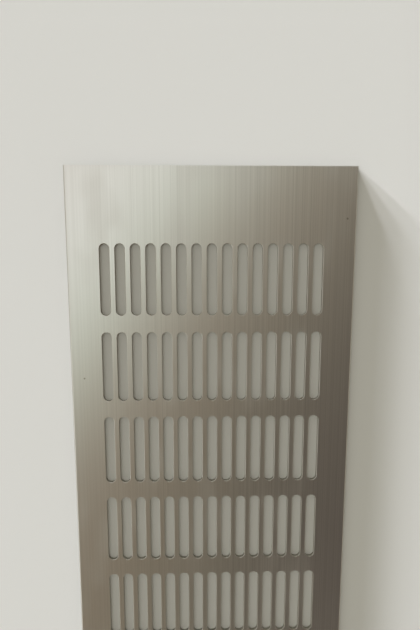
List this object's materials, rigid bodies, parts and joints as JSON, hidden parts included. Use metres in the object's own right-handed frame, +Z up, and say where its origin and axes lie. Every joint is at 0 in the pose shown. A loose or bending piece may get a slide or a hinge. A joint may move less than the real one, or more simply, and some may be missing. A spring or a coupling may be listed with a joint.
{
  "type": "slotted ventilation sheet",
  "caption": "Long, thin, flat aluminium sheet with straight rows of round-ended slots along its length and a plain border all round.",
  "frame": {"origin": "middle of the sheet, on its underside", "axes": "+X along the length and the slots, +Y across the width, +Z up through the thickness"},
  "size_m": [0.48, 0.1, 0.0012],
  "materials": {
    "mill_aluminium": "satin, fine streaks along the length"
  },
  "bodies": {
    "root": {"slotted_sheet": "mill_aluminium"}
  },
  "joints": []
}
